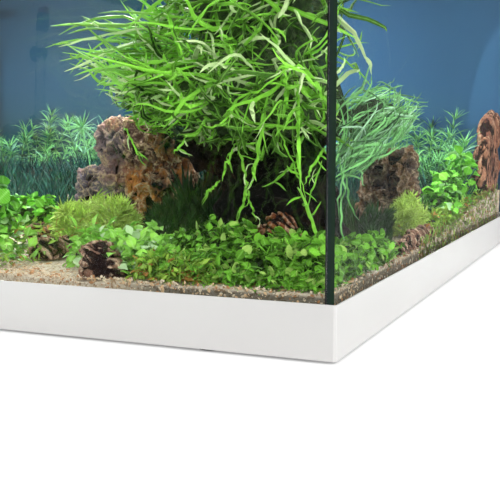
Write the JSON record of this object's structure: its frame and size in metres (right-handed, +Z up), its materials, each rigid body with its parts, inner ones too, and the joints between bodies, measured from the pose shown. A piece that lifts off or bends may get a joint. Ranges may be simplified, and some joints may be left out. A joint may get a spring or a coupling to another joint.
{
  "type": "aquarium on base frame",
  "caption": "Planted glass aquarium in a low white base frame, with a white hood, hinged flaps, tilting lamps, filter, heater, rocks and plants.",
  "frame": {"origin": "on the floor, under the middle of the tank", "axes": "+X to the right along the long side, +Y from the front to the back, +Z up"},
  "size_m": [0.806, 0.656, 0.4457],
  "materials": {
    "white_plastic": "satin white moulded plastic",
    "grey_plastic": "fine-textured grey plastic",
    "dark_plastic": "fine-textured black plastic",
    "rubber_feet": "matt black rubber",
    "suction_rubber": "soft green-grey rubber",
    "tank_glass": "clear float glass with ground edges",
    "silicone": "glossy black silicone",
    "backdrop": "blue sheet, paler towards the bottom",
    "hinge_steel": "polished steel pins",
    "lamp_aluminium": "brushed anodised aluminium",
    "lamp_diffuser": "frosted diffuser, lit",
    "sponge": "open-cell foam",
    "heater_glass": "clear borosilicate tube",
    "dial_red": "red moulded dial",
    "sand": "fine beige sand with stone chips",
    "stump_wood": "dark waterlogged root wood",
    "lava_rock": "craggy ochre and brown rock",
    "red_rock": "craggy red-brown rock",
    "fern_leaf": "glossy narrow fern blades",
    "round_leaf": "small glossy round leaves",
    "ground_leaf": "low yellow-green and reddish leaves",
    "bush_leaf": "fine lime-green foliage",
    "tuft_leaf": "fine dark green foliage",
    "broad_leaf": "broad bright green leaves",
    "stem_leaf": "feathery green needles"
  },
  "bodies": {
    "tank": {"base_rail_front": "white_plastic", "base_rail_rear": "white_plastic", "base_rail_left": "white_plastic", "base_rail_right": "white_plastic", "base_corner_keys": "grey_plastic", "base_feet": "rubber_feet", "floor_pane": "tank_glass", "front_pane": "tank_glass", "rear_pane": "tank_glass", "left_pane": "tank_glass", "right_pane": "tank_glass", "upright_seams": "silicone", "floor_seams": "silicone", "front_brace": "tank_glass", "rear_brace": "tank_glass", "cross_brace": "tank_glass", "backdrop_sheet": "backdrop", "hood_rail_front": "white_plastic", "hood_rail_rear": "white_plastic", "hood_rail_left": "white_plastic", "hood_rail_right": "white_plastic", "hood_corner_keys": "grey_plastic", "centre_rail": "white_plastic", "hinge_pins": "hinge_steel", "lamp_clips": "grey_plastic", "filter_casing": "dark_plastic", "filter_sponge": "sponge", "pump_head": "dark_plastic", "filter_cups": "suction_rubber", "heater_tube": "heater_glass", "heater_head": "dark_plastic", "heater_clips": "dark_plastic", "sand_bed": "sand", "root_stump": "stump_wood", "fern_clump": "fern_leaf", "tall_rock": "lava_rock", "side_rock": "lava_rock", "back_rocks": "red_rock", "foreground_rocks": "lava_rock", "left_rock": "lava_rock", "corner_carpet": "round_leaf", "ground_plants": "ground_leaf", "fine_bushes": "bush_leaf", "dark_tuft": "tuft_leaf", "broad_leaf_plants": "broad_leaf", "left_plants": "broad_leaf", "rear_stems": "stem_leaf"},
    "front_flap_body": {"front_flap": "white_plastic", "front_flap_grip": "grey_plastic"},
    "rear_flap_body": {"rear_flap": "white_plastic", "rear_flap_grip": "grey_plastic"},
    "front_lamp": {"front_lamp_profile": "lamp_aluminium", "front_lamp_diffuser": "lamp_diffuser", "front_lamp_caps": "dark_plastic"},
    "rear_lamp": {"rear_lamp_profile": "lamp_aluminium", "rear_lamp_diffuser": "lamp_diffuser", "rear_lamp_caps": "dark_plastic"},
    "nozzle": {"outlet_nozzle": "dark_plastic"},
    "dial": {"heater_dial": "dial_red"}
  },
  "joints": [
    {"name": "front_flap_hinge", "type": "hinge", "parent": "tank", "child": "front_flap_body", "pos_m": [0, -0.0604, 0.4416], "axis": [-1, 0, 0], "range_deg": [0, 95]},
    {"name": "rear_flap_hinge", "type": "hinge", "parent": "tank", "child": "rear_flap_body", "pos_m": [0, 0.0604, 0.4416], "axis": [1, 0, 0], "range_deg": [0, 95]},
    {"name": "front_lamp_tilt", "type": "hinge", "parent": "tank", "child": "front_lamp", "pos_m": [0, -0.028, 0.4187], "axis": [1, 0, 0], "range_deg": [-20, 20]},
    {"name": "rear_lamp_tilt", "type": "hinge", "parent": "tank", "child": "rear_lamp", "pos_m": [0, 0.028, 0.4187], "axis": [1, 0, 0], "range_deg": [-20, 20]},
    {"name": "nozzle_swivel", "type": "hinge", "parent": "tank", "child": "nozzle", "pos_m": [-0.33255, 0.277, 0.3139], "axis": [0, 0, 1], "range_deg": [-70, 45]},
    {"name": "heater_dial_turn", "type": "hinge", "parent": "tank", "child": "dial", "pos_m": [-0.371, 0.015, 0.333], "axis": [0, 0, 1], "range_deg": [0, 270]}
  ]
}
